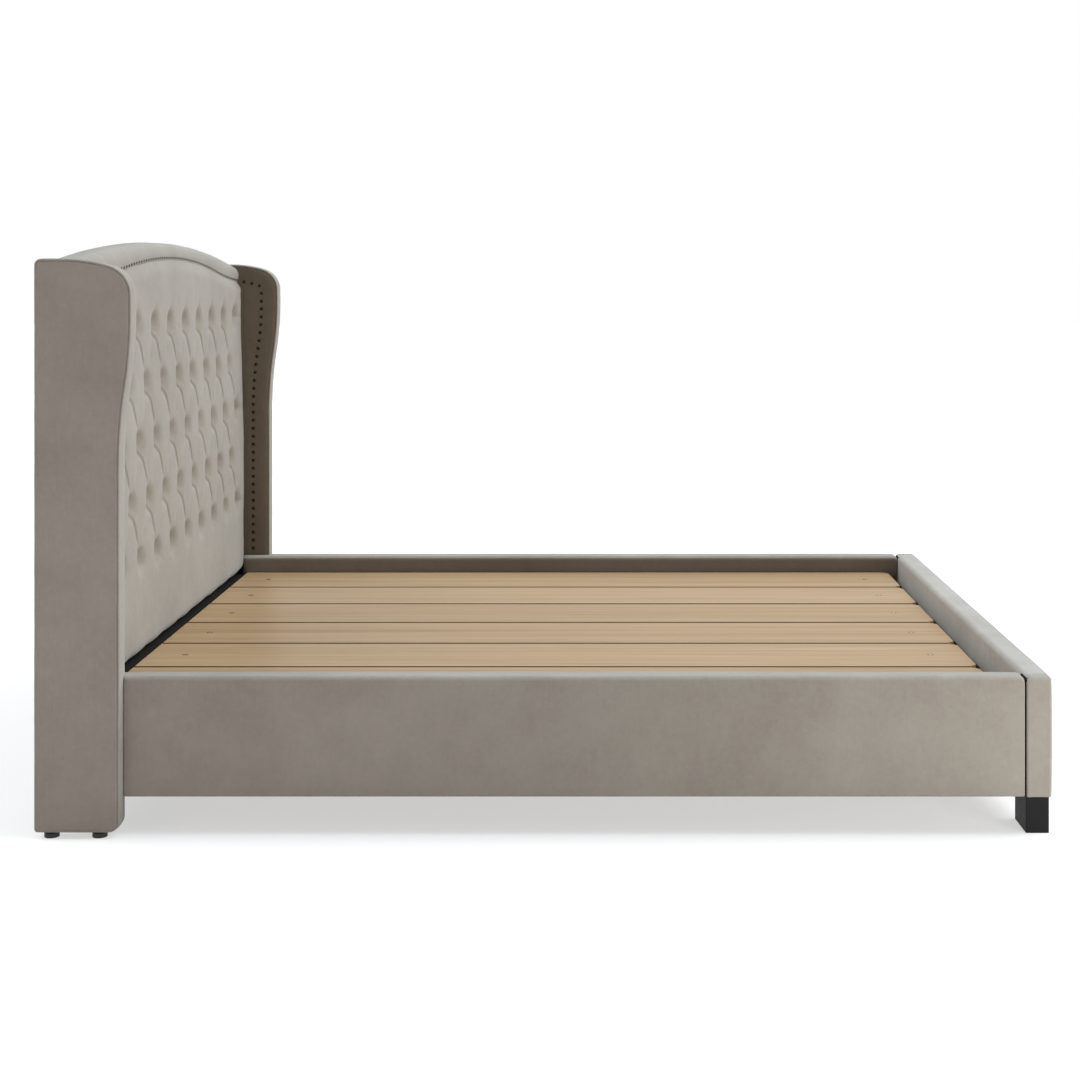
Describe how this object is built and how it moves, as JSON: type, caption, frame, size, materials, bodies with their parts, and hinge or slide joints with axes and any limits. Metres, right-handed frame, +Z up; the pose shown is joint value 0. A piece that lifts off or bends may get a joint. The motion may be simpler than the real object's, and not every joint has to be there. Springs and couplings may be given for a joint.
{
  "type": "upholstered bed",
  "caption": "Upholstered wing bed with an arched diamond-tufted headboard, nailed borders, padded side rails and footboard, lengthwise timber slats, cross bearers and levelling centre supports.",
  "frame": {"origin": "on the floor, in the middle of the bed's length and width", "axes": "+X from the headboard to the footboard, +Y across the bed, +Z up"},
  "size_m": [2.245, 1.711, 1.3279],
  "materials": {
    "upholstery_fabric": "soft brushed taupe cloth with a fine slub",
    "black_cloth": "thin black lining cloth",
    "antique_nail": "dark antique domed nails",
    "black_plastic": "black moulded glides",
    "black_wood": "black satin lacquer",
    "slat_wood": "pale clear-lacquered timber",
    "frame_timber": "bare softwood and board",
    "padding": "foam sheet",
    "zinc_steel": "zinc-plated steel"
  },
  "bodies": {
    "bed_frame": {"bracket_bolts": "zinc_steel", "centre_support_1": "frame_timber", "centre_support_2": "frame_timber", "centre_support_3": "frame_timber", "cross_bearer_1": "frame_timber", "cross_bearer_2": "frame_timber", "cross_bearer_3": "frame_timber", "cross_bearer_4": "frame_timber", "cross_bearer_5": "frame_timber", "foot_leg_far": "black_wood", "foot_leg_near": "black_wood", "footboard_board": "frame_timber", "footboard_cover": "upholstery_fabric", "headboard_arch_rail": "frame_timber", "headboard_back_panel": "upholstery_fabric", "headboard_bearing_rail": "frame_timber", "headboard_border_roll": "upholstery_fabric", "headboard_face_board": "frame_timber", "headboard_lower_panel": "black_cloth", "headboard_middle_rail": "frame_timber", "headboard_nails": "antique_nail", "headboard_post_far": "frame_timber", "headboard_post_near": "frame_timber", "headboard_tufted_pad": "upholstery_fabric", "leg_bolts": "zinc_steel", "rail_board_far": "frame_timber", "rail_board_near": "frame_timber", "rail_bracket_foot_far": "zinc_steel", "rail_bracket_foot_near": "zinc_steel", "rail_bracket_head_far": "zinc_steel", "rail_bracket_head_near": "zinc_steel", "rail_cover_far": "upholstery_fabric", "rail_cover_near": "upholstery_fabric", "rail_ledger_far": "frame_timber", "rail_ledger_near": "frame_timber", "rail_padding_far": "padding", "rail_padding_near": "padding", "slat_1": "slat_wood", "slat_2": "slat_wood", "slat_3": "slat_wood", "slat_4": "slat_wood", "slat_5": "slat_wood", "slat_6": "slat_wood", "slat_screws": "zinc_steel", "wing_bolts": "zinc_steel", "wing_boxing_far": "upholstery_fabric", "wing_boxing_near": "upholstery_fabric", "wing_core_far": "frame_timber", "wing_core_near": "frame_timber", "wing_glides_far": "black_plastic", "wing_glides_near": "black_plastic", "wing_inner_cover_far": "upholstery_fabric", "wing_inner_cover_near": "upholstery_fabric", "wing_nails_far": "antique_nail", "wing_nails_near": "antique_nail", "wing_outer_cover_far": "upholstery_fabric", "wing_outer_cover_near": "upholstery_fabric"},
    "levelling_foot_1": {"levelling_foot_1": "zinc_steel"},
    "levelling_foot_2": {"levelling_foot_2": "zinc_steel"},
    "levelling_foot_3": {"levelling_foot_3": "zinc_steel"}
  },
  "joints": [
    {"name": "levelling_foot_1_screw", "type": "slide", "parent": "bed_frame", "child": "levelling_foot_1", "axis": [0, 0, -1], "range_m": [-0.01, 0.015]},
    {"name": "levelling_foot_2_screw", "type": "slide", "parent": "bed_frame", "child": "levelling_foot_2", "axis": [0, 0, -1], "range_m": [-0.01, 0.015]},
    {"name": "levelling_foot_3_screw", "type": "slide", "parent": "bed_frame", "child": "levelling_foot_3", "axis": [0, 0, -1], "range_m": [-0.01, 0.015]}
  ]
}
